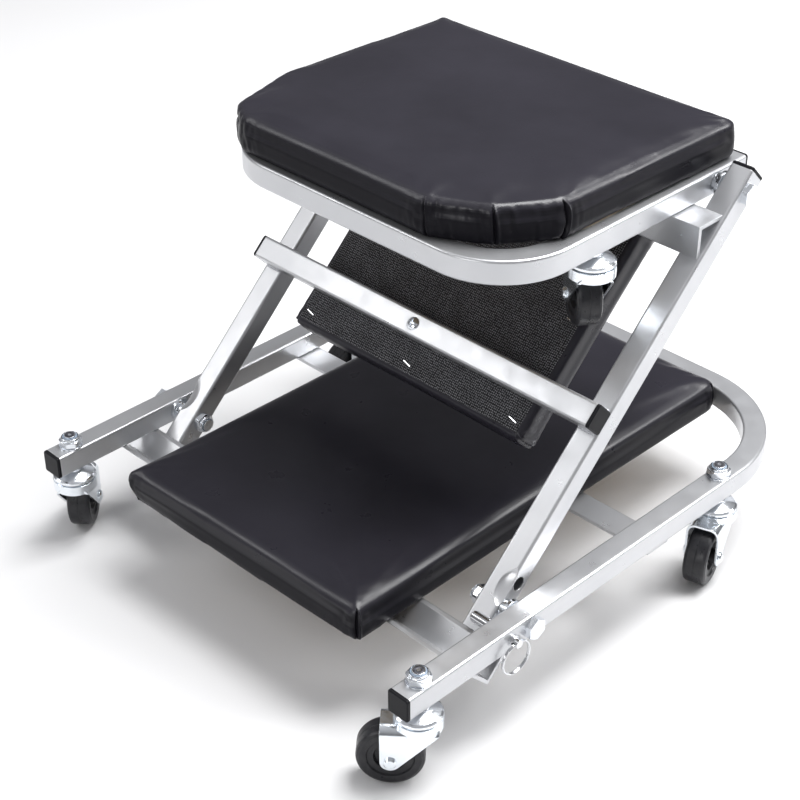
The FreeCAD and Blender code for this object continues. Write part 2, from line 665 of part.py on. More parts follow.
# ---- nodes --------------------------------------------------------------------------------------
def base_nodes():
    bolts, nuts, spacers = pivot_set(BASE_HALF, PIVOT_Y, PIVOT_Z)
    caps = end_cap()
    caps.translate(V(BASE_HALF - TUBE / 2, 0, PIVOT_Z))
    return {
        "base_frame": base_frame(),
        "base_end_caps": both_sides(caps),
        "base_stop_angle": base_stop_angle(),
        "base_cross_strip": base_cross_strip(),
        "base_pad_board": board(BASE_PAD, BASE_UNDER, base_screw_places()),
        "base_pad_cushion": cushion(BASE_PAD, BASE_UNDER),
        "base_pad_screws": screws_at(base_screw_places(), BASE_UNDER - STRIP_THICK, STRIP_THICK + BOARD - 1),
        "base_caster_stems": placed_group(caster_stem(TUBE + 10.5), BASE_CASTERS),
        "base_caster_nuts": placed_group(caster_nut(), BASE_CASTERS),
        "base_caster_washers": placed_group(caster_washer(), BASE_CASTERS),
        "base_caster_balls": placed_group(caster_balls(), BASE_CASTERS),
        "base_pivot_bolts": bolts,
        "base_pivot_nuts": nuts,
        "base_pivot_spacers": spacers,
        "lock_spring": lock_spring(),
        "lock_pin": lock_pin(),
        "lock_collar": lock_collar(),
        "lock_pull_ring": pull_ring(),
    }


def middle_nodes():
    bolts, nuts, spacers = pivot_set(ARM_HALF, SEAT_PIVOT_Y, SEAT_PIVOT_Z)
    hole = (0.0, CROSSBAR_LOW + TUBE / 2)
    wires = staples()
    cloth = board_block(MIDDLE_PAD, 0, (PAD_CORNER, PAD_CORNER), CLOTH)
    cloth = face_down(cloth.cut(post(SCREW_R, -1, BOARD, *hole)))
    slab = face_down(board(MIDDLE_PAD, CLOTH, [hole]))
    return {
        "middle_tube_right": middle_tube(1),
        "middle_tube_left": middle_tube(-1),
        "middle_top_caps": middle_tube_caps(lower=False),
        "middle_bottom_caps": middle_tube_caps(lower=True),
        "crossbar": crossbar(),
        "crossbar_caps": crossbar_caps(),
        "seat_stop_angle": seat_stop_angle(),
        "middle_pad_board": slab.cut(wires),
        "middle_pad_cushion": face_down(cushion(MIDDLE_PAD, 0.0, pocket=BOARD + CLOTH)),
        "middle_pad_backing": cloth.cut(wires),
        "middle_pad_staples": wires,
        "middle_pad_screw": middle_pad_screw(),
        "seat_pivot_bolts": bolts,
        "seat_pivot_nuts": nuts,
        "seat_pivot_spacers": spacers,
    }


def seat_nodes():
    caps = end_cap()
    caps.rotate(V(0, 0, 0), Z_AXIS, 180)
    caps.translate(V(SEAT_HALF - TUBE / 2, SEAT_REAR, SEAT_PIVOT_Z))
    return {
        "seat_frame": seat_frame(),
        "seat_end_caps": both_sides(caps),
        "seat_pad_board": board(SEAT_PAD, SEAT_TOP, seat_screw_places(), SEAT_PAD_CORNERS),
        "seat_pad_cushion": cushion(SEAT_PAD, SEAT_TOP, SEAT_PAD_CORNERS),
        "seat_pad_screws": screws_at(seat_screw_places(), SEAT_UNDER, TUBE + BOARD - 1),
        "seat_caster_stems": placed_group(caster_stem(13.0), SEAT_CASTERS),
        "seat_caster_inserts": placed_group(caster_insert(), SEAT_CASTERS),
        "seat_caster_balls": placed_group(caster_balls(), SEAT_CASTERS),
    }


def caster_nodes():
    nodes = {}
    for name in CASTERS:
        nodes["fork_" + name] = placed(caster_fork(), name)
        nodes["axle_" + name] = placed(caster_axle(), name)
        nodes["wheel_" + name] = placed(caster_wheel(), name)
    return nodes


def all_nodes():
    nodes = {}
    for group in (base_nodes(), middle_nodes(), seat_nodes(), caster_nodes()):
        nodes.update(group)
    return nodes


def export_nodes():
    os.makedirs("parts", exist_ok=True)
    whole = FreeCAD.BoundBox()
    nodes = all_nodes()
    for name, shape in nodes.items():
        shape.translate(V(-ORIGIN_X, -ORIGIN_Y, 0))
        shape.exportStep("parts/" + name + ".step")
        whole.add(shape.BoundBox)
    print(len(nodes), "nodes,", whole)


if __name__ == "__main__":
    export_nodes()
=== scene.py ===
import json
import math

import bmesh
import bpy
import numpy as np
from mathutils import Matrix, Vector, noise


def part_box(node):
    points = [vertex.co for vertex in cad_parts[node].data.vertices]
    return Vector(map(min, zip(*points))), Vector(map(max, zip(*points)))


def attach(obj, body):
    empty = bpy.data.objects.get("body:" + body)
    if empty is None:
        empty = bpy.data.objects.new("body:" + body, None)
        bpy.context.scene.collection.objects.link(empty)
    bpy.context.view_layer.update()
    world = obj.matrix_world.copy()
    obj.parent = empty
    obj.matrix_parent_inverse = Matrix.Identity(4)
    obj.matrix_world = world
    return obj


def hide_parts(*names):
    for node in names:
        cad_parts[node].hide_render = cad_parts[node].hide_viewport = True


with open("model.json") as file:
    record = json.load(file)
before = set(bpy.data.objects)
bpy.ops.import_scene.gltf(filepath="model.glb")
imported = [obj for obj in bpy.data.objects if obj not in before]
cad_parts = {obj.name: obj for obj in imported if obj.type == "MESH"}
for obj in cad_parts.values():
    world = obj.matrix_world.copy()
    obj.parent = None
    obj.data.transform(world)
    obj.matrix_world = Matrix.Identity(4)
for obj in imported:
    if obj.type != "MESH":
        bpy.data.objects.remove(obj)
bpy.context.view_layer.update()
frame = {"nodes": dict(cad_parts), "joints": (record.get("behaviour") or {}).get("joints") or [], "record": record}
NODES = frame["nodes"]
JOINTS = {joint["name"]: joint for joint in frame["joints"]}
SCENE = bpy.context.scene
MM = 0.001

# ---- places, all read from the frame --------------------------------------------------------------
_low, _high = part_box("base_frame")
MID_X = (_low.x + _high.x) / 2
FRONT_Y = _low.y
BASE_PIVOT = Vector(JOINTS["base_pivot"]["pos_m"])
SEAT_PIVOT = Vector(JOINTS["seat_pivot"]["pos_m"])
UP_SLOPE = (SEAT_PIVOT - BASE_PIVOT).normalized()
OFF_SLOPE = Vector((1, 0, 0)).cross(UP_SLOPE)
SLOPE_AXES = Matrix((Vector((1, 0, 0)), UP_SLOPE, OFF_SLOPE)).transposed()
SLOPE = Matrix.Translation((MID_X, BASE_PIVOT.y, BASE_PIVOT.z)) @ SLOPE_AXES.to_4x4()
PLAN = Matrix.Translation((MID_X, FRONT_Y, 0))
TUBE_FACE = 10 * MM                  # from the middle tubes' middle plane to their back faces


def at(x, y, z):
    """Millimetres from the middle plane, from the base tubes' front ends and above the floor."""
    return PLAN @ Vector((x * MM, y * MM, z * MM))


def on_slope(x, s, n):
    """Millimetres across, up the slope from the base pivot, and out of its front faces' side."""
    return SLOPE @ Vector((x * MM, s * MM, n * MM))


# ---- camera, light and floor ----------------------------------------------------------------------
def camera():
    azimuth, elevation, roll = (math.radians(v) for v in (45.445, 33.473, -0.385))
    back = Vector((math.sin(azimuth) * math.cos(elevation), -math.cos(azimuth) * math.cos(elevation),
                   math.sin(elevation)))
    right = Vector((math.cos(azimuth), math.sin(azimuth), 0))
    up = back.cross(right)
    turned_right = right * math.cos(roll) + up * math.sin(roll)
    turned_up = up * math.cos(roll) - right * math.sin(roll)
    data = bpy.data.cameras.new("camera")
    data.sensor_width = 36.0
    data.lens = 79.83
    data.clip_start = 0.05
    obj = bpy.data.objects.new("camera", data)
    axes = Matrix((turned_right, turned_up, back)).transposed()
    obj.matrix_world = Matrix.Translation(at(857.7, -640.9, 941.4)) @ axes.to_4x4()
    SCENE.collection.objects.link(obj)
    SCENE.camera = obj


def area_light(name, place, aim, width, height, power, colour=(1, 1, 1)):
    data = bpy.data.lights.new(name, "AREA")
    data.shape = "RECTANGLE"
    data.size, data.size_y = width, height
    data.energy = power
    data.color = colour
    obj = bpy.data.objects.new(name, data)
    obj.location = place
    obj.rotation_euler = (Vector(aim) - Vector(place)).to_track_quat("-Z", "Y").to_euler()
    SCENE.collection.objects.link(obj)


def studio():
    """Soft boxes and a graded surround: bright overhead and low down, darker between, as in a photo studio."""
    world = bpy.data.worlds.new("studio")
    SCENE.world = world
    world.use_nodes = True
    tree = world.node_tree
    background = tree.nodes["Background"]
    coords = tree.nodes.new("ShaderNodeTexCoord")
    split = tree.nodes.new("ShaderNodeSeparateXYZ")
    shade = tree.nodes.new("ShaderNodeValToRGB")
    stops = [(0.0, 0.50), (0.47, 0.40), (0.53, 0.12), (0.66, 0.20), (0.80, 0.34), (1.0, 0.50)]
    ramp = shade.color_ramp
    while len(ramp.elements) < len(stops):
        ramp.elements.new(0.5)
    for element, (place, grey) in zip(ramp.elements, stops):
        element.position = place
        element.color = (grey, grey, grey * 1.03, 1)
    half = tree.nodes.new("ShaderNodeMath")
    half.operation = "MULTIPLY_ADD"
    half.inputs[1].default_value = 0.5
    half.inputs[2].default_value = 0.5
    tree.links.new(coords.outputs["Generated"], split.inputs[0])
    tree.links.new(split.outputs["Z"], half.inputs[0])
    tree.links.new(half.outputs[0], shade.inputs[0])
    tree.links.new(shade.outputs[0], background.inputs[0])
    background.inputs[1].default_value = 1.0
    area_light("top", (0.3, 0.7, 2.2), (0, 0, 0.1), 1.2, 1.2, 64)
    area_light("front left", (-1.5, -1.35, 1.65), (0, 0, 0.2), 0.55, 1.3, 9)
    area_light("rear right", (1.35, 1.45, 1.65), (0, 0, 0.2), 0.5, 1.3, 24)
    area_light("front", (0.3, -2.4, 0.9), (0, 0, 0.15), 1.2, 0.8, 11)
    SCENE.view_settings.view_transform = "Standard"
    SCENE.view_settings.look = "None"
    SCENE.view_settings.exposure = 0.0


def floor():
    mesh = bpy.data.meshes.new("floor")
    size = 6.0
    corners = [(-size, -size, 0), (size, -size, 0), (size, size, 0), (-size, size, 0)]
    mesh.from_pydata(corners, [], [(0, 1, 2, 3)])
    obj = bpy.data.objects.new("floor", mesh)
    SCENE.collection.objects.link(obj)
    mat = Material("floor", (0.8, 0.8, 0.8), 0.8, **{"Specular IOR Level": 0.1})
    mat.use_noise_colour(3.0, (0.795, 0.795, 0.80), (0.805, 0.805, 0.81))
    obj.data.materials.append(mat.mat)


# ---- materials ------------------------------------------------------------------------------------
class Material:
    """A Principled material with its texture nodes driven by object coordinates, in metres."""

    def __init__(self, name, colour, roughness, metallic=0.0, **inputs):
        self.mat = bpy.data.materials.new(name)
        self.mat.use_nodes = True
        self.nodes = self.mat.node_tree.nodes
        self.links = self.mat.node_tree.links
        self.shader = self.nodes["Principled BSDF"]
        self.coords = self.nodes.new("ShaderNodeTexCoord").outputs["Object"]
        self.normal = None
        self.set(**{"Base Color": (*colour, 1)}, Roughness=roughness, Metallic=metallic, **inputs)

    def set(self, **inputs):
        for key, value in inputs.items():
            socket = self.shader.inputs[key]
            if isinstance(value, bpy.types.NodeSocket):
                self.links.new(value, socket)
            else:
                socket.default_value = value

    def stretched(self, scale):
        node = self.nodes.new("ShaderNodeMapping")
        node.inputs["Scale"].default_value = scale
        self.links.new(self.coords, node.inputs["Vector"])
        return node.outputs[0]

    def texture(self, kind, scale, stretch=None, output="Fac", **inputs):
        node = self.nodes.new("ShaderNodeTex" + kind)
        self.links.new(self.stretched(stretch) if stretch else self.coords, node.inputs["Vector"])
        node.inputs["Scale"].default_value = scale
        for key, value in inputs.items():
            node.inputs[key].default_value = value
        return node.outputs[output]

    def ramp(self, source, *stops):
        node = self.nodes.new("ShaderNodeValToRGB")
        elements = node.color_ramp.elements
        while len(elements) < len(stops):
            elements.new(0.5)
        for element, (place, colour) in zip(elements, stops):
            element.position = place
            element.color = (*colour, 1) if isinstance(colour, tuple) else (colour, colour, colour, 1)
        self.links.new(source, node.inputs[0])
        return node.outputs[0]

    def mix(self, fac, first, second):
        node = self.nodes.new("ShaderNodeMix")
        node.data_type = "RGBA"
        for index, value in ((0, fac), (6, first), (7, second)):
            if isinstance(value, bpy.types.NodeSocket):
                self.links.new(value, node.inputs[index])
            elif index == 0:
                node.inputs[0].default_value = value
            else:
                node.inputs[index].default_value = (*value, 1)
        return node.outputs[2]

    def maths(self, operation, first, second):
        node = self.nodes.new("ShaderNodeMath")
        node.operation = operation
        for index, value in enumerate((first, second)):
            if isinstance(value, bpy.types.NodeSocket):
                self.links.new(value, node.inputs[index])
            else:
                node.inputs[index].default_value = value
        return node.outputs[0]

    def bump(self, height, strength, distance):
        node = self.nodes.new("ShaderNodeBump")
        node.inputs["Strength"].default_value = strength
        node.inputs["Distance"].default_value = distance
        self.links.new(height, node.inputs["Height"])
        if self.normal is not None:
            self.links.new(self.normal, node.inputs["Normal"])
        self.normal = node.outputs[0]
        self.links.new(self.normal, self.shader.inputs["Normal"])

    def soften_edges(self, radius):
        """Rounded shading across sharp edges. It gives back a mask that is 1 along them."""
        node = self.nodes.new("ShaderNodeBevel")
        node.samples = 6
        node.inputs["Radius"].default_value = radius
        self.normal = node.outputs[0]
        self.links.new(self.normal, self.shader.inputs["Normal"])
        plain = self.nodes.new("ShaderNodeNewGeometry").outputs["True Normal"]
        dot = self.nodes.new("ShaderNodeVectorMath")
        dot.operation = "DOT_PRODUCT"
        self.links.new(node.outputs[0], dot.inputs[0])
        self.links.new(plain, dot.inputs[1])
        return self.ramp(dot.outputs["Value"], (0.80, 1.0), (0.985, 0.0))

    def use_noise_colour(self, scale, dark, light, low=0.35, high=0.65):
        fac = self.texture("Noise", scale, Detail=4.0)
        self.set(**{"Base Color": self.ramp(fac, (low, dark), (high, light))})


def frame_paint():
    mat = Material("frame_paint", (0.5, 0.52, 0.55), 0.36, 0.75)
    edge = mat.soften_edges(0.9 * MM)
    patch = mat.texture("Noise", 9.0, Detail=5.0)
    tone = mat.ramp(patch, (0.3, (0.56, 0.57, 0.59)), (0.7, (0.63, 0.635, 0.65)))
    # Edges painted lighter: partly wear on the paint, partly painted highlight.
    mat.set(**{"Base Color": mat.mix(edge, tone, (0.70, 0.705, 0.72))})
    mat.set(Roughness=mat.ramp(mat.texture("Noise", 60.0, Detail=6.0), (0.3, 0.27), (0.7, 0.36)))
    mat.bump(mat.texture("Noise", 700.0, Detail=1.0), 0.025, 0.1 * MM)
    return mat.mat


def bright_zinc(name, tint=(0.80, 0.83, 0.87), rough=(0.12, 0.26), edge_radius=0.5):
    mat = Material(name, tint, 0.2, 1.0)
    mat.soften_edges(edge_radius * MM)
    fac = mat.texture("Noise", 120.0, Detail=5.0)
    pale = tuple(min(1.0, c * 1.1) for c in tint)
    mat.set(**{"Base Color": mat.ramp(fac, (0.3, tint), (0.7, pale))})
    mat.set(Roughness=mat.ramp(mat.texture("Noise", 420.0, Detail=4.0), (0.3, rough[0]), (0.7, rough[1])))
    mat.bump(mat.texture("Noise", 1500.0, Detail=2.0), 0.05, 0.05 * MM)
    return mat.mat


def chrome():
    mat = Material("chrome", (0.74, 0.75, 0.77), 0.07, 1.0)
    mat.soften_edges(0.3 * MM)
    mat.set(Roughness=mat.ramp(mat.texture("Noise", 700.0, Detail=3.0), (0.3, 0.05), (0.7, 0.13)))
    return mat.mat


def vinyl(name="vinyl", level=False):
    """Black vinyl. On a level pad the sides are painted darker, as painted shade, and the specular is raised on
    the rounded edges and lowered on the sides, for painted highlights along the edges.
    """
    mat = Material(name, (0.022, 0.021, 0.026), 0.42)
    grain = mat.texture("Voronoi", 1500.0, output="Distance")
    pores = mat.texture("Noise", 2600.0, Detail=3.0)
    cloudy = mat.texture("Noise", 14.0, Detail=3.0)
    tone = mat.ramp(cloudy, (0.3, (0.0175, 0.0165, 0.0225)), (0.7, (0.0235, 0.0222, 0.0300)))
    mat.set(Roughness=mat.ramp(mat.texture("Noise", 40.0, Detail=5.0), (0.3, 0.27), (0.7, 0.36)))
    mat.set(**{"Base Color": tone, "Specular IOR Level": 0.34})
    if level:
        # Painted shade: faces that point little upward get a darker colour. Painted highlight: specular set by the
        # normal, high on the rounded edges, low on the sides, between on the top.
        split = mat.nodes.new("ShaderNodeSeparateXYZ")
        mat.links.new(mat.coords.node.outputs["Normal"], split.inputs[0])
        upward = split.outputs["Z"]
        side = mat.ramp(upward, (0.15, 1.0), (0.5, 0.0))
        mat.set(**{"Base Color": mat.mix(side, tone, (0.0085, 0.0080, 0.0110))})
        edge_highlight_gloss = mat.ramp(upward, (0.10, 0.07), (0.45, 0.50), (0.88, 0.50), (0.975, 0.19))
        mat.set(**{"Specular IOR Level": edge_highlight_gloss})
    mat.bump(mat.texture("Noise", 55.0, Detail=4.0, Roughness=0.6), 0.15, 1.0 * MM)
    mat.bump(mat.maths("ADD", grain, pores), 0.05, 0.12 * MM)
    return mat.mat


def dust_cloth():
    """Non-woven cloth: dark fibres, pressed with rows of small pale dots."""
    mat = Material("dust_cloth", (0.02, 0.02, 0.02), 0.9)
    mat.set(**{"Sheen Weight": 0.2, "Specular IOR Level": 0.2})
    fibres = mat.texture("Noise", 1100.0, Detail=5.0, Roughness=0.7)
    dots = mat.texture("Voronoi", 540.0, output="Distance", Randomness=0.3)
    dots.node.voronoi_dimensions = "2D"
    level = mat.nodes.new("ShaderNodeMapping")
    level.inputs["Rotation"].default_value = (-SLOPE.to_euler().x, 0, 0)
    mat.links.new(mat.coords, level.inputs["Vector"])
    mat.links.new(level.outputs[0], dots.node.inputs["Vector"])
    patch = mat.texture("Noise", 60.0, Detail=3.0)
    spot = mat.ramp(dots, (0.16, 1.0), (0.42, 0.0))
    worn = mat.maths("MULTIPLY", spot, mat.ramp(fibres, (0.40, 0.45), (0.60, 1.0)))
    worn = mat.maths("MULTIPLY", worn, mat.ramp(patch, (0.30, 0.6), (0.65, 1.0)))
    base = mat.ramp(fibres, (0.35, (0.006, 0.006, 0.007)), (0.7, (0.020, 0.020, 0.023)))
    mat.set(**{"Base Color": mat.mix(worn, base, (0.33, 0.33, 0.35))})
    mat.bump(mat.maths("SUBTRACT", fibres, spot), 0.5, 0.25 * MM)
    return mat.mat


def black_plastic():
    mat = Material("black_plastic", (0.02, 0.02, 0.023), 0.42, 0.0, **{"Specular IOR Level": 0.13})
    edge = mat.soften_edges(0.6 * MM)
    tone = mat.ramp(mat.texture("Noise", 80.0), (0.3, (0.006, 0.006, 0.008)), (0.7, (0.011, 0.011, 0.013)))
    # Edges painted lighter, as painted highlight along the caps' chamfers.
    mat.set(**{"Base Color": mat.mix(edge, tone, (0.055, 0.055, 0.062))})
    mat.bump(mat.texture("Noise", 2200.0, Detail=2.0), 0.18, 0.08 * MM)
    return mat.mat


def wheel_plastic():
    mat = Material("wheel_plastic", (0.02, 0.02, 0.022), 0.32, 0.0, **{"Specular IOR Level": 0.32})
    mat.soften_edges(0.5 * MM)
    fac = mat.texture("Noise", 160.0, Detail=5.0)
    mat.set(**{"Base Color": mat.ramp(fac, (0.3, (0.014, 0.014, 0.017)), (0.7, (0.028, 0.028, 0.031)))})
    mat.set(Roughness=mat.ramp(mat.texture("Noise", 300.0, Detail=5.0), (0.3, 0.26), (0.7, 0.42)))
    mat.bump(mat.texture("Noise", 1800.0, Detail=3.0), 0.1, 0.08 * MM)
    return mat.mat


def plywood():
    mat = Material("plywood", (0.5, 0.36, 0.22), 0.7)
    grain = mat.texture("Noise", 22.0, stretch=(1.0, 9.0, 40.0), Detail=7.0, Distortion=0.6)
    mat.set(**{"Base Color": mat.ramp(grain, (0.3, (0.24, 0.18, 0.12)), (0.7, (0.40, 0.32, 0.23)))})
    mat.bump(grain, 0.3, 0.2 * MM)
    return mat.mat


def weld_metal():
    mat = Material("weld_metal", (0.52, 0.53, 0.56), 0.4, 0.6)
    mat.use_noise_colour(400.0, (0.42, 0.43, 0.46), (0.62, 0.63, 0.66))
    mat.bump(mat.texture("Noise", 1200.0, Detail=4.0), 0.4, 0.2 * MM)
    return mat.mat


def dark_steel():
    mat = Material("dark_steel", (0.08, 0.08, 0.09), 0.45, 0.6)
    mat.use_noise_colour(500.0, (0.035, 0.035, 0.042), (0.11, 0.11, 0.125))
    return mat.mat


def nylon():
    mat = Material("nylon", (0.30, 0.36, 0.44), 0.35)
    mat.use_noise_colour(600.0, (0.26, 0.32, 0.40), (0.36, 0.43, 0.52))
    return mat.mat


# ---- mesh helpers ---------------------------------------------------------------------------------
def add_piece(name, verts, faces, mat, body, smooth=True, replaces=()):
    mesh = bpy.data.meshes.new(name)
    mesh.from_pydata([tuple(v) for v in verts], [], faces)
    mesh.update()
    return add_mesh(name, mesh, mat, body, smooth, replaces)


def add_mesh(name, mesh, mat, body, smooth=True, replaces=()):
    obj = bpy.data.objects.new(name, mesh)
    SCENE.collection.objects.link(obj)
    for one in mat if isinstance(mat, (list, tuple)) else [mat]:
        mesh.materials.append(one)
    for polygon in mesh.polygons:
        polygon.use_smooth = smooth
    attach(obj, body)
    if replaces:
        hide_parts(*replaces)
    return obj


def coords_of(mesh):
    co = np.empty(len(mesh.vertices) * 3)
    mesh.vertices.foreach_get("co", co)
    return co.reshape(-1, 3)


def set_coords(mesh, co):
    mesh.vertices.foreach_set("co", co.ravel())
    mesh.update()


def baked(obj):
    """The object's mesh with its modifiers applied."""
    SCENE.view_layers[0].update()
    graph = bpy.context.evaluated_depsgraph_get()
    return bpy.data.meshes.new_from_object(obj.evaluated_get(graph), depsgraph=graph)


def apply_modifiers(obj):
    mesh = baked(obj)
    old = obj.data
    obj.modifiers.clear()
    obj.data = mesh
    bpy.data.meshes.remove(old)


def smoothstep(edge0, edge1, value):
    t = np.clip((value - edge0) / (edge1 - edge0), 0, 1)
    return t * t * (3 - 2 * t)


# ---- cushions -------------------------------------------------------------------------------------
def rounded_outline(corners, step=12.0):
    """Points, millimetres, anticlockwise round a polygon whose corners (x, y, radius) are rounded."""
    points = []
    count = len(corners)
    for i, (x, y, radius) in enumerate(corners):
        here = np.array((x, y), float)
        before = np.array(corners[i - 1][:2]) - here
        after = np.array(corners[(i + 1) % count][:2]) - here
        before /= np.linalg.norm(before)
        after /= np.linalg.norm(after)
        half = math.acos(np.clip(before @ after, -1, 1)) / 2
        reach = radius / math.tan(half)
        middle = before + after
        middle /= np.linalg.norm(middle)
        centre = here + middle * radius / math.sin(half)
        start = here + before * reach - centre
        end = here + after * reach - centre
        first = math.atan2(start[1], start[0])
        turn = (math.atan2(end[1], end[0]) - first + math.pi) % (2 * math.pi) - math.pi
        n = max(2, int(abs(turn) * radius / 2) + 1)
        for k in range(n + 1):
            a = first + turn * k / n
            points.append(centre + radius * np.array((math.cos(a), math.sin(a))))
    dense = []
    for i, p in enumerate(points):
        q = points[(i + 1) % len(points)]
        n = max(1, int(np.linalg.norm(q - p) / step))
        dense += [p + (q - p) * k / n for k in range(n)]
    return np.array(dense)


class Rim:
    """A pad's outline: how far points are from it, how far along it, and which way is out."""

    def __init__(self, corners, pull_in=0.0):
        self.points = rounded_outline(corners)
        if pull_in:
            self.pull_in(corners, pull_in)
        self.ahead = np.roll(self.points, -1, axis=0)
        self.steps = np.linalg.norm(self.ahead - self.points, axis=1)
        self.starts = np.concatenate(((0.0,), np.cumsum(self.steps)[:-1]))
        self.length = self.steps.sum()

    def pull_in(self, corners, amount):
        """Draw the long sides in a little between their corners."""
        inward = self.inward()
        spots = np.array([c[:2] for c in corners], float)
        for p, q in zip(spots, np.roll(spots, -1, axis=0)):
            d = q - p
            length = np.linalg.norm(d)
            if length < 120:
                continue
            t = (self.points - p) @ d / length ** 2
            off = np.abs((self.points - p) @ np.array((-d[1], d[0])) / length)
            near = (off < 3) & (t > 0) & (t < 1)
            self.points[near] += inward[near] * (amount * np.sin(math.pi * t[near]) ** 0.7)[:, None]

    def inward(self):
        along = np.roll(self.points, -1, axis=0) - np.roll(self.points, 1, axis=0)
        along /= np.linalg.norm(along, axis=1)[:, None]
        return np.stack((-along[:, 1], along[:, 0]), 1)

    def measure(self, xy):
        best = np.full(len(xy), 1e9)
        arc = np.zeros(len(xy))
        out = np.zeros((len(xy), 2))
        for p, q, length, start in zip(self.points, self.ahead, self.steps, self.starts):
            d = (q - p) / length
            t = np.clip((xy - p) @ d, 0, length)
            gap = np.linalg.norm(xy - (p + t[:, None] * d), axis=1)
            nearer = gap < best
            best[nearer] = gap[nearer]
            arc[nearer] = start + t[nearer]
            out[nearer] = (d[1], -d[0])
        return best, arc, out

    def arc_of(self, x, y):
        return self.measure(np.array(((x, y),), float))[1][0]

    def along(self, arc, start):
        """Signed distance along the rim from a start."""
        return (arc - start + self.length / 2) % self.length - self.length / 2


def block_mesh(rim, thick, top_r, back_r):
    """Closed block over an outline, its top edge rounded by top_r and its back edge by back_r."""
    profile = []
    for k in range(5):
        a = math.pi / 2 * k / 4
        profile.append((back_r * (1 - math.sin(a)), back_r * (1 - math.cos(a))))
    profile.append((0.0, thick / 2))
    for k in range(7):
        a = math.pi / 2 * k / 6
        profile.append((top_r * (1 - math.cos(a)), thick - top_r * (1 - math.sin(a))))
    inward = rim.inward()
    verts = []
    for inset, z in profile:
        for p, n in zip(rim.points, inward):
            verts.append((*(p + n * inset), z))
    count = len(rim.points)
    faces = []
    for ring in range(len(profile) - 1):
        for i in range(count):
            j = (i + 1) % count
            a, b = ring * count, (ring + 1) * count
            faces.append((a + i, a + j, b + j, b + i))
    faces.append(tuple(range(count))[::-1])
    faces.append(tuple(range((len(profile) - 1) * count, len(profile) * count)))
    return np.array(verts) * MM, faces


def puff(obj, held, cap, pressure=4.0, frames=20):
    """Blow the pad up a little by cloth simulation, with the held vertices pinned."""
    group = obj.vertex_groups.new(name="held")
    group.add([int(i) for i in np.nonzero(held)[0]], 1.0, "REPLACE")
    before = coords_of(obj.data)
    cloth = obj.modifiers.new("cloth", "CLOTH")
    settings = cloth.settings
    settings.quality = 5
    settings.mass = 0.3
    settings.tension_stiffness = settings.compression_stiffness = 25
    settings.shear_stiffness = 15
    settings.bending_stiffness = 2.0
    settings.use_pressure = True
    settings.uniform_pressure_force = pressure
    settings.vertex_group_mass = "held"
    settings.effector_weights.gravity = 0
    cloth.collision_settings.use_collision = False
    cloth.point_cache.frame_start = 1
    cloth.point_cache.frame_end = frames
    for step in range(1, frames + 1):
        SCENE.frame_set(step)
    mesh = baked(obj)
    after = coords_of(mesh)
    bpy.data.meshes.remove(mesh)
    obj.modifiers.clear()
    obj.vertex_groups.clear()
    SCENE.frame_set(1)
    move = after - before
    length = np.linalg.norm(move, axis=1)
    scale = np.where(length > 1e-9, cap * np.tanh(length / cap) / np.maximum(length, 1e-9), 0)
    set_coords(obj.data, before + move * scale[:, None])


def refine(obj, chosen):
    """Halve the edges whose both ends are chosen, for fine detail there."""
    bm = bmesh.new()
    bm.from_mesh(obj.data)
    edges = [e for e in bm.edges if chosen[e.verts[0].index] and chosen[e.verts[1].index]]
    bmesh.ops.subdivide_edges(bm, edges=edges, cuts=1, use_grid_fill=True)
    bm.to_mesh(obj.data)
    bm.free()


def lumps(co, scale, seed):
    """Smooth noise between -1 and 1 at points in millimetres."""
    shift = Vector((seed * 17.3, seed * 5.1, seed * 9.7))
    return np.array([noise.noise(Vector(p) / scale + shift) for p in co])


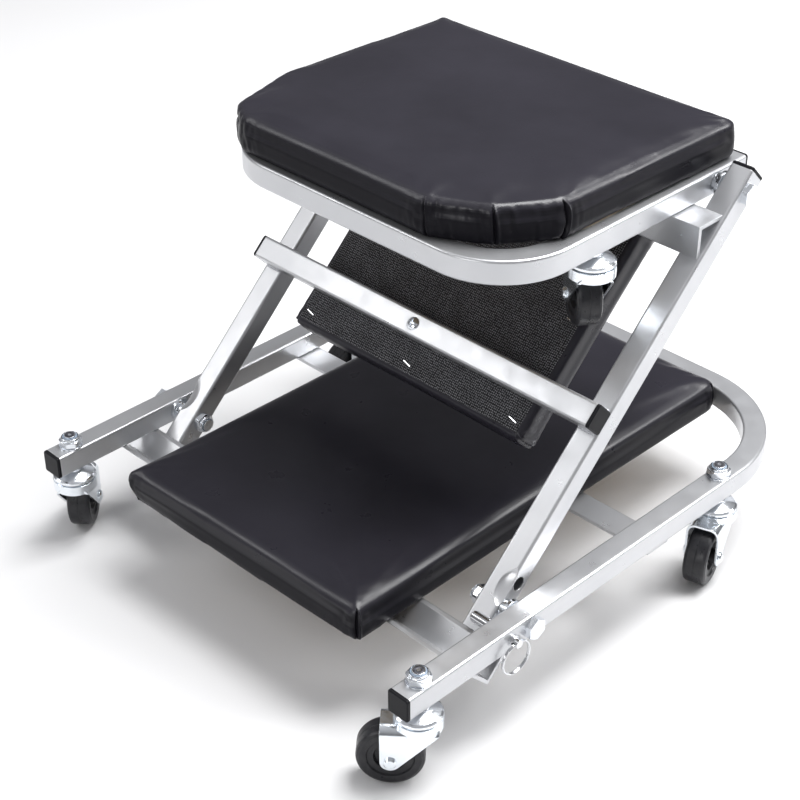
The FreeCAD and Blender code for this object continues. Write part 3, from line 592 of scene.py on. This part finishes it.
class Pad:
    """Foam pad in vinyl, made face up in pad millimetres with its back at zero height."""

    def __init__(self, name, corners, thick, body, node, mat, pull_in=1.0, top_r=8.0, back_r=2.0, voxel=4.0,
                 cap=1.5):
        self.rim = Rim(corners, pull_in)
        self.thick = thick
        self.body, self.node = body, node
        verts, faces = block_mesh(self.rim, thick, top_r, back_r)
        self.obj = add_piece(name, verts, faces, MATS[mat], body)
        self.obj.parent = None
        remesh = self.obj.modifiers.new("remesh", "REMESH")
        remesh.mode = "VOXEL"
        remesh.voxel_size = voxel * MM
        smooth = self.obj.modifiers.new("smooth", "SMOOTH")
        smooth.factor = 0.5
        smooth.iterations = 1
        apply_modifiers(self.obj)
        co = coords_of(self.obj.data)
        puff(self.obj, co[:, 2] < 0.5 * thick * MM, cap * MM)
        subdivide = self.obj.modifiers.new("subdivide", "SUBSURF")
        subdivide.levels = subdivide.render_levels = 1
        apply_modifiers(self.obj)
        self.read()
        refine(self.obj, (self.distance < 12) & (self.co[:, 2] > 0.02 * thick))
        self.read()

    def read(self):
        self.co = coords_of(self.obj.data) / MM
        self.distance, self.arc, self.out = self.rim.measure(self.co[:, :2])
        self.side = smoothstep(7.0, 1.5, self.distance)
        self.high = smoothstep(0.45 * self.thick, 0.9 * self.thick, self.co[:, 2])

    def refine(self, spots, reach):
        """Finer mesh near places of the rim."""
        chosen = np.zeros(len(self.co), bool)
        for x, y in spots:
            chosen |= np.abs(self.rim.along(self.arc, self.rim.arc_of(x, y))) < reach
        chosen &= self.distance < 9
        set_coords(self.obj.data, self.co * MM)
        refine(self.obj, chosen)
        self.read()

    def push_out(self, amount):
        self.co[:, :2] += self.out * (amount * self.side)[:, None]

    def crown(self, height, reach):
        self.co[:, 2] += self.high * height * (1 - np.exp(-self.distance / reach))

    def unevenness(self, height, scale, seed):
        fade = self.high * smoothstep(0.0, 25.0, self.distance)
        near = fade > 0.01
        self.co[near, 2] += fade[near] * height * lumps(self.co[near] * (1, 1, 0), scale, seed)

    def pleat(self, x, y, slant=0.0, depth=2.0, ridge=0.9, width=1.6, low=-1.0, high=None, bow=0.0):
        """Vertical tuck in the side: a sharp groove with a raised fold beside it, leaning by slant."""
        top = self.thick - 2.0 if high is None else high
        z = self.co[:, 2]
        d = self.rim.along(self.arc, self.rim.arc_of(x, y)) - slant * (self.thick / 2 - z) / self.thick
        d -= bow * np.sin(math.pi * np.clip(z / self.thick, 0, 1))
        fade = smoothstep(top + 4.0, top - 2.0, z) * smoothstep(low - 3.0, low + 3.0, z)
        groove = -depth * np.exp(-(d / width) ** 2)
        fold = ridge * np.exp(-((d - 1.6 * width) / (1.1 * width)) ** 2)
        self.push_out((groove + fold) * fade)

    def crease_round(self, x, y, reach, z, depth, width=1.6):
        """Level crease that runs part of the way round a corner."""
        d = self.rim.along(self.arc, self.rim.arc_of(x, y))
        self.push_out(-depth * np.exp(-((self.co[:, 2] - z) / width) ** 2) * np.exp(-(d / reach) ** 4))

    def rumple(self, x, y, reach, height, scale, seed):
        """Small creases in the side near a corner."""
        d = self.rim.along(self.arc, self.rim.arc_of(x, y))
        stretched = np.stack((self.arc / scale, self.co[:, 2] / (2.4 * scale), np.zeros(len(self.co))), 1)
        window = np.exp(-(d / reach) ** 2) * self.side
        near = window > 0.02
        bumps = np.zeros(len(self.co))
        bumps[near] = lumps(stretched[near], 1.0, seed)
        self.push_out(height * window * bumps)

    def finish(self, place, recess, rim_width=6.0):
        """Flatten the back inside the vinyl's rim, where the board lies, and put the pad in its place."""
        lift = recess * smoothstep(rim_width - 1.0, rim_width + 0.5, self.distance)
        back = self.co[:, 2] < 0.2 * self.thick
        deep = back & (self.distance > rim_width - 1.0)
        self.co[deep, 2] = lift[deep]
        height = self.co[:, 2]
        seated = np.maximum(height - height.min() * smoothstep(3.0, 1.0, height), 0.0)
        self.co[:, 2] = np.where(height < 3.0, seated, height)
        set_coords(self.obj.data, self.co * MM)
        self.obj.data.transform(place)
        for polygon in self.obj.data.polygons:
            polygon.use_smooth = True
        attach(self.obj, self.body)
        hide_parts(self.node)


def base_cushion():
    corners = [(-132, 20, 5), (130.5, 28, 7), (129, 467, 9), (-129, 467, 9)]
    pad = Pad("base_cushion", corners, 31.5, "base", "base_pad_cushion", "level_vinyl", pull_in=1.2, top_r=7.5)
    spots = [c[:2] for c in corners]
    pad.refine(spots, 16)
    pad.crown(1.6, 26)
    pad.unevenness(0.7, 85, 1)
    by_left_corner = np.exp(-(pad.rim.along(pad.arc, pad.rim.arc_of(-132, 20)) / 60) ** 2)
    pad.push_out(-3.5 * smoothstep(24, 0, pad.co[:, 2]) * by_left_corner)
    at_left_corner = np.exp(-(pad.rim.along(pad.arc, pad.rim.arc_of(-132, 20)) / 5.5) ** 2)
    pad.push_out(3.0 * smoothstep(6, 20, pad.co[:, 2]) * at_left_corner)
    pad.pleat(130.5, 32, slant=-1.0, depth=2.6, ridge=1.3, width=1.3, bow=-1.6)
    pad.pleat(128, 462, slant=1.0, depth=2.2, ridge=1.0, width=1.3)
    pad.pleat(-128, 462, slant=1.0, depth=2.2, ridge=1.0, width=1.3)
    pad.pleat(-130, 22, slant=0.6, depth=1.2, ridge=0.5, width=1.2, high=16)
    for x, y in spots:
        pad.rumple(x, y, 16, 0.7, 5.0, x * 0.1)
    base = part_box("base_pad_board")[0].z
    pad.finish(PLAN @ Matrix.Translation((0, 0, base)), 1.5)


def seat_cushion():
    corners = [(-121, 152, 14), (75, 152, 10), (121, 176.5, 8), (151, 220, 10), (156, 417, 7), (-157, 415, 7),
               (-161, 330, 60), (-165, 234, 34), (-147, 168, 20)]
    pad = Pad("seat_cushion", corners, 32.0, "seat", "seat_pad_cushion", "level_vinyl", pull_in=0.6, top_r=5.0)
    spots = [(75, 152), (121, 176.5), (151, 220), (-147, 168), (-121, 152)]
    pad.refine(spots, 20)
    pad.crown(1.8, 22)
    pad.unevenness(0.6, 70, 3)
    pad.pleat(76, 153, slant=4.0, depth=1.8, ridge=1.0, width=1.0)
    pad.pleat(121, 177.5, slant=3.5, depth=2.2, ridge=1.3, width=1.2, bow=1.0)
    pad.pleat(150, 219, slant=-1.5, depth=2.8, ridge=1.4, width=1.4, bow=3.5)
    for x, y, high in ((84, 158, 30), (92, 163, 14), (112, 173, 30), (128, 188, 28), (137, 203, 15)):
        pad.pleat(x, y, slant=1.5, depth=0.5, ridge=0.3, width=1.8, low=12 if high > 20 else -1, high=high)
    pad.crease_round(-149, 172, 17, 20.5, 3.2, 1.8)
    pad.pleat(-138, 161, slant=2.0, depth=1.0, ridge=0.5, width=1.4, high=19)
    pad.pleat(-155, 192, slant=-2.0, depth=1.0, ridge=0.5, width=1.5, high=19)
    for x, y in spots:
        pad.rumple(x, y, 20, 0.9, 5.0, x * 0.1)
    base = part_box("seat_pad_board")[0].z
    pad.finish(PLAN @ Matrix.Translation((0, 0, base)), 1.5)


def middle_cushion():
    corners = [(-130, 113, 7), (130, 113, 7), (130, 318, 9), (-130, 318, 9)]
    pad = Pad("middle_cushion", corners, 31.5, "middle", "middle_pad_cushion", "vinyl", pull_in=1.2, top_r=8.0,
              back_r=3.5)
    spots = [c[:2] for c in corners]
    pad.refine(spots, 16)
    pad.crown(1.6, 26)
    pad.unevenness(0.7, 80, 5)
    for x, y in spots:
        pad.pleat(x * 0.985, y + (2 if y < 200 else -2), slant=1.0, depth=2.0, ridge=1.0, width=1.3)
        pad.rumple(x, y, 26, 1.1, 6.0, x * 0.1 + y)
    pad.finish(MIDDLE_BACK, 0.9, rim_width=7.5)


def staple_places():
    """Middles of the staples' crowns, millimetres across and up the slope, from the CAD node."""
    co = coords_of(NODES["middle_pad_staples"].data)
    inverse = np.array(SLOPE.inverted())
    local = (np.c_[co, np.ones(len(co))] @ inverse.T)[:, :3] / MM
    places = []
    for p in local[local[:, 2] > 10.2]:
        if all(math.dist(p[:2], q[0][:2]) > 20 for q in places):
            near = local[(np.linalg.norm(local[:, :2] - p[:2], axis=1) < 14) & (local[:, 2] > 10.2)]
            places.append((near.mean(axis=0), near))
    return [p for p, _ in places]


def backing():
    """Dust cloth over the middle pad's back, pinched down at each staple."""
    half_x, low, high = 123.5, 119.5, 311.5
    outline = Rim([(-half_x, low, 5), (half_x, low, 5), (half_x, high, 5), (-half_x, high, 5)])
    nx, ny = 170, 132
    xs = np.linspace(-half_x, half_x, nx)
    ys = np.linspace(low, high, ny)
    grid = np.array([(x, y, 0.0) for y in ys for x in xs])
    edge, arc, out = outline.measure(grid[:, :2])
    wavy = 0.7 * lumps(np.stack((arc / 13, np.zeros(len(arc)), np.zeros(len(arc))), 1), 1.0, 7)
    grid[:, :2] += out * (wavy * smoothstep(6, 0, edge))[:, None]
    bar = smoothstep(8, 2, np.abs(grid[:, 1] - 156))
    height = 0.55 + 0.5 * lumps(grid, 24.0, 11) + 0.25 * lumps(grid, 9.0, 12)
    height *= (1 - bar) * smoothstep(0, 6, edge)
    for p in staple_places():
        gap = np.linalg.norm(grid[:, :2] - p[:2], axis=1)
        left = grid[:, :2] - (p[:2] + (-3.6, 1.2))
        height -= (height + 0.1) * np.exp(-(gap / 5.5) ** 2)
        height -= 0.9 * np.exp(-((left[:, 0] / 4.2) ** 2 + (left[:, 1] / 2.6) ** 2))
        ray = np.abs(left[:, 1] - 0.5 * left[:, 0])
        height -= 0.35 * np.exp(-(ray / 1.6) ** 2) * np.exp(-(gap / 14) ** 2)
    height = np.clip(height, -0.5, 0.9) * (1 - bar)
    low_side = np.c_[grid[:, :2], np.full(len(grid), -0.55)]
    grid[:, 2] = height
    faces = []
    count = nx * ny
    for j in range(ny - 1):
        for i in range(nx - 1):
            a = j * nx + i
            faces.append((a, a + 1, a + nx + 1, a + nx))
            faces.append((a + count, a + nx + count, a + nx + 1 + count, a + 1 + count))
    ring = [i for i in range(nx)] + [nx - 1 + nx * j for j in range(1, ny)]
    ring += [nx * ny - 1 - i for i in range(1, nx)] + [nx * (ny - 1 - j) for j in range(1, ny - 1)]
    for a, b in zip(ring, ring[1:] + ring[:1]):
        faces.append((b, a, a + count, b + count))
    verts = np.concatenate((grid, low_side)) * MM
    obj = add_piece("middle_backing", verts, faces, MATS["cloth"], "middle",
                    replaces=("middle_pad_backing",))
    obj.data.transform(SLOPE @ Matrix.Translation((0, 0, TUBE_FACE)))


# ---- metal details --------------------------------------------------------------------------------
def sweep(path, radius, sides=10, closed=False, squash=1.0):
    """Tube along points. radius may be one number or one for each point."""
    path = np.array(path, float)
    count = len(path)
    radii = np.full(count, radius) if np.isscalar(radius) else np.asarray(radius)
    verts = []
    normal = None
    for k in range(count):
        before = path[k - 1] if k or closed else path[0]
        after = path[(k + 1) % count] if closed or k < count - 1 else path[-1]
        along = after - before
        along /= np.linalg.norm(along)
        if normal is None:
            seed = np.array((0, 0, 1.0)) if abs(along[2]) < 0.8 else np.array((1.0, 0, 0))
            normal = np.cross(along, seed)
        normal = normal - along * (normal @ along)
        normal /= np.linalg.norm(normal)
        other = np.cross(along, normal)
        for i in range(sides):
            a = 2 * math.pi * i / sides
            verts.append(path[k] + radii[k] * (math.cos(a) * normal + squash * math.sin(a) * other))
    faces = []
    for k in range(count if closed else count - 1):
        a, b = k * sides, (k + 1) % count * sides
        for i in range(sides):
            j = (i + 1) % sides
            faces.append((a + i, a + j, b + j, b + i))
    if not closed:
        faces.append(tuple(range(sides))[::-1])
        faces.append(tuple(range((count - 1) * sides, count * sides)))
    return verts, faces


class Pieces:
    """Several sweeps collected into one piece."""

    def __init__(self):
        self.verts, self.faces = [], []

    def add(self, verts, faces):
        start = len(self.verts)
        self.verts += [tuple(v) for v in verts]
        self.faces += [tuple(start + i for i in f) for f in faces]

    def bead(self, start, end, radius=1.7):
        """Weld bead with its ripples, in metres from start to end."""
        start, end = np.array(start, float), np.array(end, float)
        length = np.linalg.norm(end - start) / MM
        n = max(8, int(length / 0.45))
        t = np.linspace(0, 1, n)
        taper = np.sqrt(np.clip(1 - (2 * t - 1) ** 10, 0.05, 1))
        ripple = 1 + 0.13 * np.sin(t * length * 2 * math.pi / 2.1) + 0.08 * np.sin(t * length * 1.7 + radius)
        wander = np.array([noise.noise(Vector((k * 0.21, start[0] * 90, start[1] * 70))) for k in range(n)])
        side = np.cross(end - start, (0.3, 0.5, 0.8))
        side /= np.linalg.norm(side)
        path = start + (end - start) * t[:, None] + side * (wander * 0.35 * MM)[:, None]
        self.add(*sweep(path, radius * MM * taper * ripple, 12))

    def piece(self, name, mat, body, slot, replaces=()):
        return add_piece(name, self.verts, self.faces, mat, body, replaces=replaces)


def welds():
    """Beads where the bars and angles are welded to the tubes."""
    middle = Pieces()
    low, high = 146, 166             # the crossbar's two edges up the slope
    inner, outer = 168.5, 185.5      # flat part of a middle tube's face, across
    proud = 10.3
    for side in (-1, 1):
        for s in (low, high):
            middle.bead(on_slope(side * inner, s, proud), on_slope(side * outer, s, proud), 1.5)
        edge = side * (inner - 1.5)
        middle.bead(on_slope(edge, low + 2, proud), on_slope(edge, high - 2, proud), 1.2)
    middle.piece("middle_welds", MATS["weld"], "middle", "frame_paint")

    base = Pieces()
    inner, outer = 196.5 * MM, 213.5 * MM    # flat part of a base tube's underside, across,
    under = 71.8 * MM                        # and its height, less a little
    strip = [end.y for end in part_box("base_cross_strip")]
    angle_low, angle_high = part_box("base_stop_angle")
    angle = [angle_low.y + 1.5 * MM, angle_high.y - 1.5 * MM]
    rows = [(y, under, side, 1.3) for y in strip for side in (-1, 1)]
    rows += [(y, min(angle_high.z, under), side, 1.4) for side in (-1, 1) for y in angle]
    for y, z, side, radius in rows:
        base.bead((MID_X + side * inner, y, z), (MID_X + side * outer, y, z), radius)
    base.piece("base_welds", MATS["weld"], "base", "frame_paint")


def hexagon_ring(flats, corner):
    """Hexagon with its corners cut a little, as unit directions and radii."""
    points = []
    for k in range(6):
        middle = math.radians(60 * k)
        for offset in (-1, 0, 1):
            a = middle + offset * (math.pi / 6 - corner)
            points.append((math.cos(a), math.sin(a), flats / 2 / math.cos(a - middle)))
    return points


def nut_mesh(flats, height, bore):
    """Lock nut standing on its washer face: chamfered hexagon, rolled collar and the well inside it."""
    collar_r = flats / 2 - 1.0
    ring = hexagon_ring(flats, 0.10)
    count = len(ring)
    chamfer_r = flats / 2 + 0.25
    body = height - 2.6
    uncut = flats
    hexagon = ((0.0, chamfer_r), (0.5, uncut), (body - 0.9, uncut), (body - 0.3, chamfer_r + 0.35),
               (body, chamfer_r - 0.5))
    rolled = ((body + 0.25, collar_r - 0.1), (body + 0.9, collar_r), (body + 1.7, collar_r),
              (height - 0.35, collar_r - 0.5), (height, collar_r - 1.3), (height, bore + 1.9),
              (height - 0.3, bore + 1.5), (height - 0.9, bore + 1.3))
    rows = [[(c * min(r, limit), s * min(r, limit), z) for c, s, r in ring] for z, limit in hexagon]
    rows += [[(c * r, s * r, z) for c, s, _ in ring] for z, r in rolled]
    verts = [v for row in rows for v in row]
    faces = []
    for k in range(len(rows) - 1):
        for i in range(count):
            j = (i + 1) % count
            faces.append((k * count + i, k * count + j, (k + 1) * count + j, (k + 1) * count + i))
    faces.append(tuple(range(count))[::-1])
    faces.append(tuple(range((len(rows) - 1) * count, len(rows) * count)))
    return np.array(verts), faces


def disc_stack(profile, sides=32):
    """Turned shape about Z from (radius, height) pairs, closed at both ends."""
    verts, faces = [], []
    angles = [2 * math.pi * i / sides for i in range(sides)]
    for r, z in profile:
        verts += [(r * math.cos(a), r * math.sin(a), z) for a in angles]
    for k in range(len(profile) - 1):
        for i in range(sides):
            j = (i + 1) % sides
            faces.append((k * sides + i, k * sides + j, (k + 1) * sides + j, (k + 1) * sides + i))
    faces.append(tuple(range(sides))[::-1])
    faces.append(tuple(range((len(profile) - 1) * sides, len(profile) * sides)))
    return np.array(verts), faces


def lock_nuts(node, name, body, upright):
    """Draw each of a node's nuts again with a rolled collar, nylon ring and the bolt's end inside."""
    metal, ring, stem = Pieces(), Pieces(), Pieces()
    co = coords_of(NODES[node].data)
    axis = 2 if upright else 0
    others = [i for i in range(3) if i != axis]
    spots = []
    for p in co[:, others]:
        if all(math.dist(p, q) > 0.03 for q in spots):
            spots.append(p)
    groups = []
    for q in spots:
        near = co[np.linalg.norm(co[:, others] - q, axis=1) < 0.03]
        for part in ((near,) if upright else (near[near[:, 0] > MID_X], near[near[:, 0] < MID_X])):
            if len(part):
                groups.append((part.min(axis=0), part.max(axis=0)))
    for low, high in groups:
        middle = (low + high) / 2
        height = (high - low)[axis] / MM
        flats = min((high - low)[others]) / MM
        start = np.array(middle)
        if upright:
            start[2] = low[2]
            turn = Matrix.Rotation(middle[0] * 40, 4, "Z")
        else:
            inward = -1 if middle[0] > MID_X else 1
            start[0] = high[0] if inward < 0 else low[0]
            turn = Matrix.Rotation(inward * math.pi / 2, 4, "Y") @ Matrix.Rotation(0.4, 4, "Z")
        place = Matrix.Translation(start) @ turn @ Matrix.Scale(MM, 4)
        nylon_ring = [(r, height - z) for r, z in ((6.2, 1.4), (6.2, 0.42), (6.0, 0.30), (5.2, 0.26))]
        bolt_end = ((4.95, -2.0), (4.95, 0.35), (4.1, 1.1), (1.6, 1.1), (1.2, 0.6))
        bolt_end = [(r, height + z) for r, z in bolt_end]
        for holder, (verts, faces) in ((metal, nut_mesh(flats, height, 5.0)), (ring, disc_stack(nylon_ring)),
                                       (stem, disc_stack(bolt_end))):
            holder.add([place @ Vector(v) for v in verts], faces)
    nut = metal.piece(name, MATS["zinc"], body, "zinc", replaces=(node,))
    for polygon in nut.data.polygons:
        polygon.use_smooth = False
    ring.piece(name + "_rings", MATS["nylon"], body, "cap_plastic")
    stem.piece(name + "_ends", MATS["dark_steel"], body, "zinc")


def right_tube():
    """Middle tube on the lock's side, with its lead-in and lock hole like the other one's."""
    mesh = NODES["middle_tube_left"].data.copy()
    mirror = Matrix.Translation((2 * MID_X, 0, 0)) @ Matrix.Diagonal((-1, 1, 1, 1))
    mesh.transform(mirror)
    mesh.flip_normals()
    add_mesh("middle_tube_by_lock", mesh, [], "middle", smooth=False,
             replaces=("middle_tube_right",))
    mesh.materials.clear()
    mesh.materials.append(MATS["paint"])


def pull_ring():
    """Split ring of two turns of wire, hung from the lock pin."""
    low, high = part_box("lock_pull_ring")
    centre = (low + high) / 2
    radius = (high.z - low.z) / 2 - 1.0 * MM
    path = []
    turns, n = 2.04, 220
    for k in range(n + 1):
        a = math.radians(118) + 2 * math.pi * turns * k / n
        step = 0.66 * MM * math.tanh(5 * (k / n - 0.5) * 2.2)
        swell = 0.25 * MM * math.cos(a * 2)
        r = radius + swell
        path.append((centre.x + step, centre.y + r * math.cos(a), centre.z + r * math.sin(a)))
    ring = Pieces()
    radii = np.full(n + 1, 0.72 * MM)
    radii[0] = radii[-1] = 0.35 * MM
    ring.add(*sweep(path, radii, 12))
    ring.piece("split_ring", MATS["chrome"], "lock_ring", "chrome_plate", replaces=("lock_pull_ring",))


# ---- start ----------------------------------------------------------------------------------------
MATS = {
    "paint": frame_paint(), "zinc": bright_zinc("zinc"), "fork": bright_zinc("fork_zinc", (0.82, 0.86, 0.90)),
    "chrome": chrome(), "vinyl": vinyl(), "level_vinyl": vinyl("level_vinyl", True),
    "cloth": dust_cloth(), "plastic": black_plastic(), "wheel": wheel_plastic(), "ply": plywood(),
    "weld": weld_metal(), "nylon": nylon(), "dark_steel": dark_steel(),
}
SLOT_MATERIAL = {
    "frame_paint": "paint", "cap_plastic": "plastic", "vinyl": "vinyl", "plywood": "ply",
    "backing_cloth": "cloth", "staple_wire": "chrome", "zinc": "zinc", "bearing_steel": "chrome",
    "chrome_plate": "chrome", "spring_steel": "zinc", "fork_zinc": "fork", "wheel_plastic": "wheel",
}
MIDDLE_BACK = SLOPE @ Matrix.Translation((0, 0, TUBE_FACE)) @ Matrix.Rotation(math.pi, 4, "Y")


def dress_cad_nodes():
    slot_of = {part["node"]: part["material_slot"] for part in frame["record"]["subparts"]}
    for name, obj in NODES.items():
        mat = MATS[SLOT_MATERIAL[slot_of[name]]]
        obj.data.materials.clear()
        obj.data.materials.append(mat)


camera()
studio()
floor()
dress_cad_nodes()
base_cushion()
seat_cushion()
middle_cushion()
backing()
welds()
right_tube()
pull_ring()
lock_nuts("base_caster_nuts", "caster_nuts", "base", True)
lock_nuts("base_pivot_nuts", "base_pivot_lock_nuts", "base", False)
lock_nuts("seat_pivot_nuts", "seat_pivot_lock_nuts", "middle", False)
